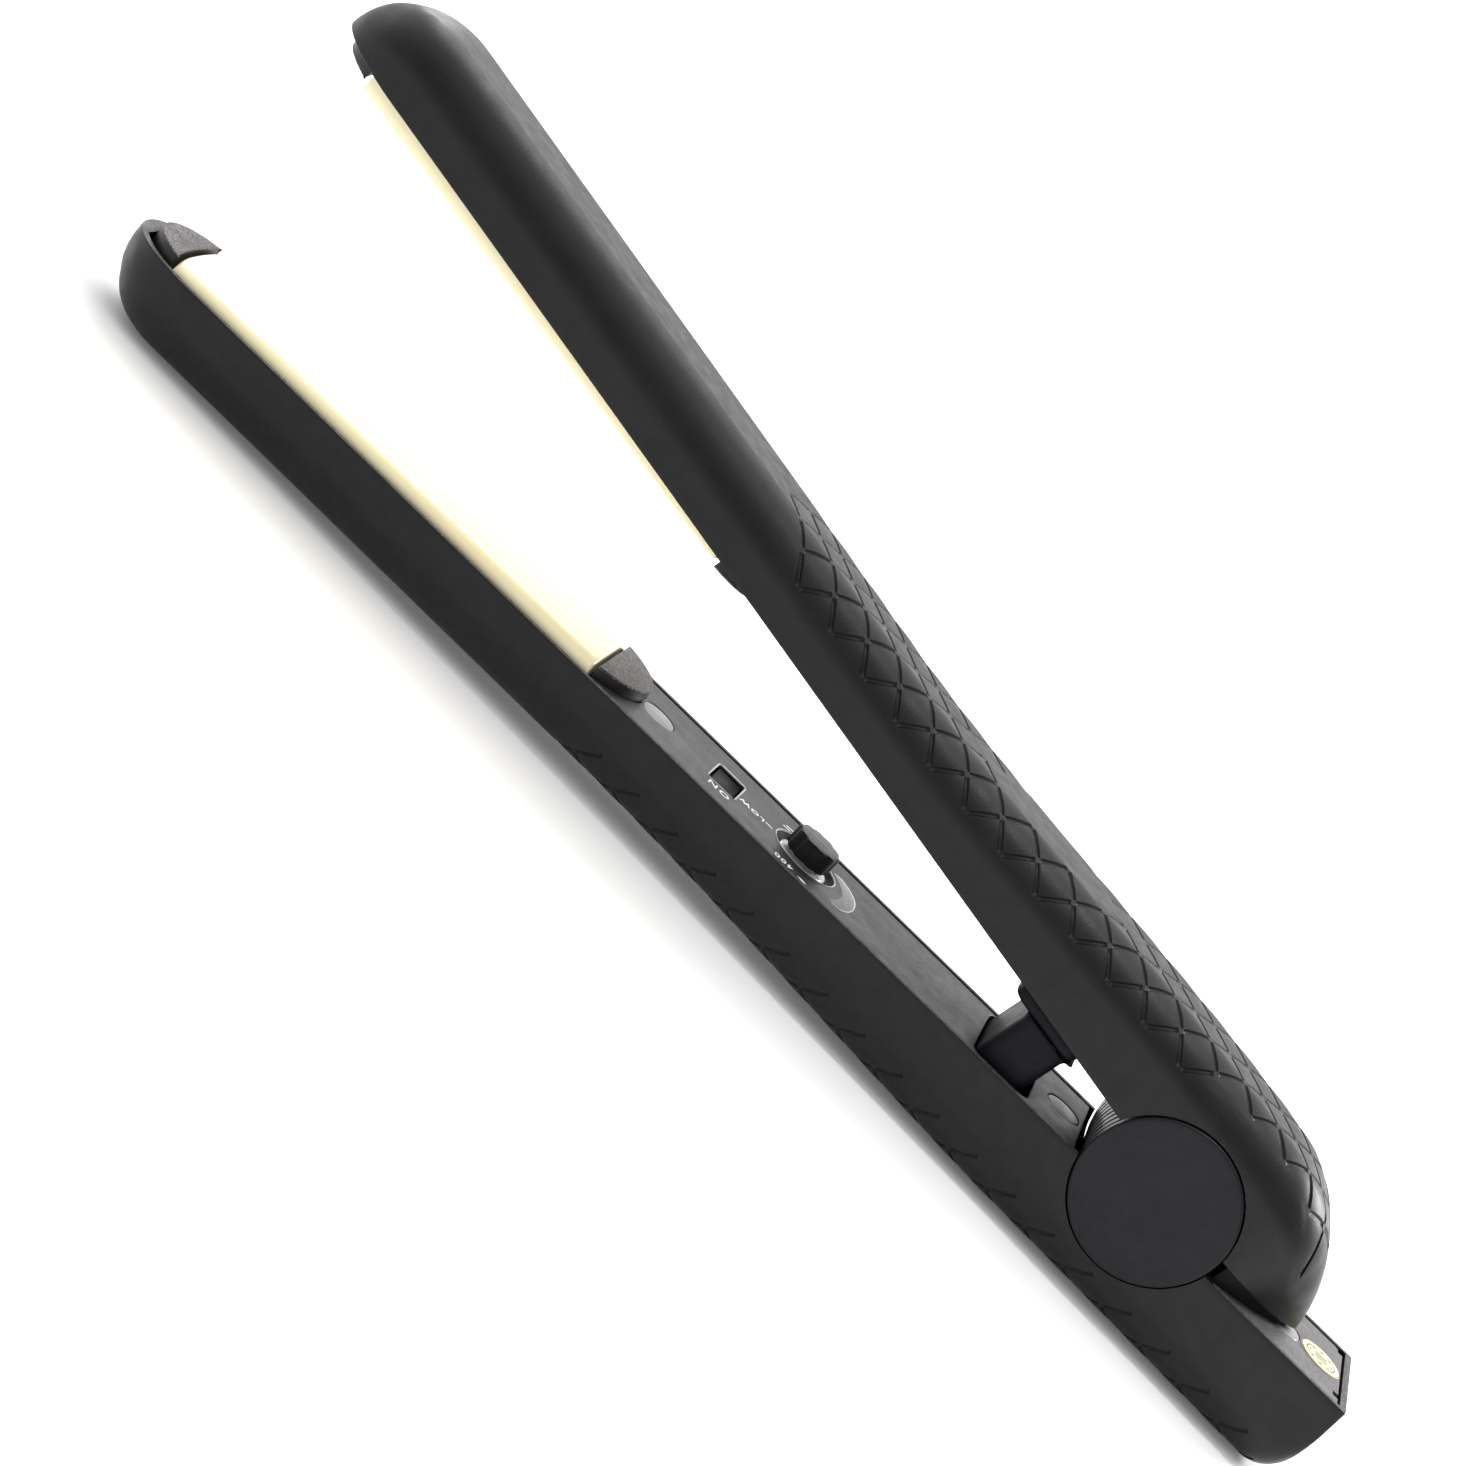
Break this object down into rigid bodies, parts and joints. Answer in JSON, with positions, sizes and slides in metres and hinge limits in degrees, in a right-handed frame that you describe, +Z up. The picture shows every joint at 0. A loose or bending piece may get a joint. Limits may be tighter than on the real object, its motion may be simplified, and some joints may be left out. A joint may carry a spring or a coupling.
{
  "type": "hair crimper",
  "caption": "Black two-arm hair iron standing open on its lower arm, with smooth ivory ceramic plates, round hinge caps, a temperature dial, a power button and a sprung post.",
  "frame": {"origin": "on the table under the middle of the arms, where the lower arm rests on its nose and belly", "axes": "+X from the tip to the tail along the arms, +Y away from the viewer across the arms, +Z up from the lower arm to the upper arm"},
  "size_m": [0.2918, 0.0312, 0.0768],
  "materials": {
    "soft_touch_black": "soft-touch black coating, satin",
    "cover_grey": "fine spark-eroded grey-black plastic",
    "carrier_black": "smooth matt black heat-resistant plastic",
    "hinge_black": "matt black moulded plastic",
    "ivory_ceramic": "smooth ivory ceramic coating, soft sheen",
    "heater_ceramic": "unglazed white heater ceramic",
    "clip_aluminium": "brushed, mill finish",
    "screw_steel": "zinc-plated",
    "spring_steel": "drawn wire",
    "silicone_red": "soft silicone pads",
    "stop_rubber": "black rubber",
    "board_green": "solder mask over glass fibre",
    "component_black": "moulded electronic parts",
    "knob_black": "semi-gloss black",
    "button_black": "gloss black",
    "rotor_white": "natural white plastic",
    "ring_pale": "pale translucent plastic",
    "plug_grey": "smooth grey plugs",
    "sticker_gold": "pale gold printed label",
    "lead_white": "glass-fibre sleeved leads"
  },
  "bodies": {
    "lower_arm": {"lower_housing": "soft_touch_black", "lower_inner_cover": "cover_grey", "tail_cover": "cover_grey", "lower_plate_carrier": "carrier_black", "control_board": "board_green", "board_components": "component_black", "temperature_pot": "component_black", "dial_light_ring": "ring_pale", "power_switch": "component_black", "front_screw_plug": "plug_grey", "middle_screw_plug": "plug_grey", "rear_screw_plug": "plug_grey", "lower_case_screws": "screw_steel", "inspection_sticker": "sticker_gold", "cord_gland": "carrier_black", "cord_clamp": "clip_aluminium", "power_leads": "lead_white", "lower_heater_leads": "lead_white", "lower_hinge_bracket": "hinge_black", "hinge_pin": "screw_steel", "near_hinge_cap": "hinge_black", "far_hinge_cap": "hinge_black", "hinge_washers": "screw_steel", "pivot_spacer": "hinge_black", "spring_seat": "carrier_black", "opening_spring": "spring_steel"},
    "upper_arm": {"upper_housing": "soft_touch_black", "upper_inner_cover": "cover_grey", "upper_plate_carrier": "carrier_black", "upper_heater_leads": "lead_white", "upper_hinge_bracket": "hinge_black", "spring_post": "carrier_black", "upper_case_screws": "screw_steel", "heel_stop_pad": "stop_rubber"},
    "lower_floating_plate": {"lower_plate": "ivory_ceramic", "lower_heater": "heater_ceramic", "lower_heater_clip": "clip_aluminium", "lower_thermistor": "heater_ceramic", "lower_float_pads": "silicone_red"},
    "upper_floating_plate": {"upper_plate": "ivory_ceramic", "upper_heater": "heater_ceramic", "upper_heater_clip": "clip_aluminium", "upper_thermal_fuse": "component_black", "upper_float_pads": "silicone_red"},
    "dial": {"dial_rotor": "rotor_white", "temperature_dial": "knob_black"},
    "button": {"power_button": "button_black"}
  },
  "joints": [
    {"name": "arm_hinge", "type": "hinge", "parent": "lower_arm", "child": "upper_arm", "pos_m": [0.0972, 0, 0.02289], "axis": [0, -1, 0], "range_deg": [0, 10.5], "stiffness_Nm_per_rad": 1.2, "springref_deg": -20.05, "deforming": ["opening_spring"]},
    {"name": "lower_plate_float", "type": "slide", "parent": "lower_arm", "child": "lower_floating_plate", "axis": [0.0229, 0, -0.9997], "range_m": [0, 0.0008], "stiffness_N_per_m": 4000, "springref_m": -0.0005},
    {"name": "upper_plate_float", "type": "slide", "parent": "upper_arm", "child": "upper_floating_plate", "axis": [0.1593, 0, 0.9872], "range_m": [0, 0.0008], "stiffness_N_per_m": 4000, "springref_m": -0.0005},
    {"name": "dial_turn", "type": "hinge", "parent": "lower_arm", "child": "dial", "pos_m": [0.0142, 0, 0.01743], "axis": [0.0229, 0, -0.9997], "range_deg": [0, 270]},
    {"name": "button_press", "type": "slide", "parent": "lower_arm", "child": "button", "axis": [0.0229, 0, -0.9997], "range_m": [0, 0.0008], "stiffness_N_per_m": 800, "springref_m": -0.001}
  ]
}
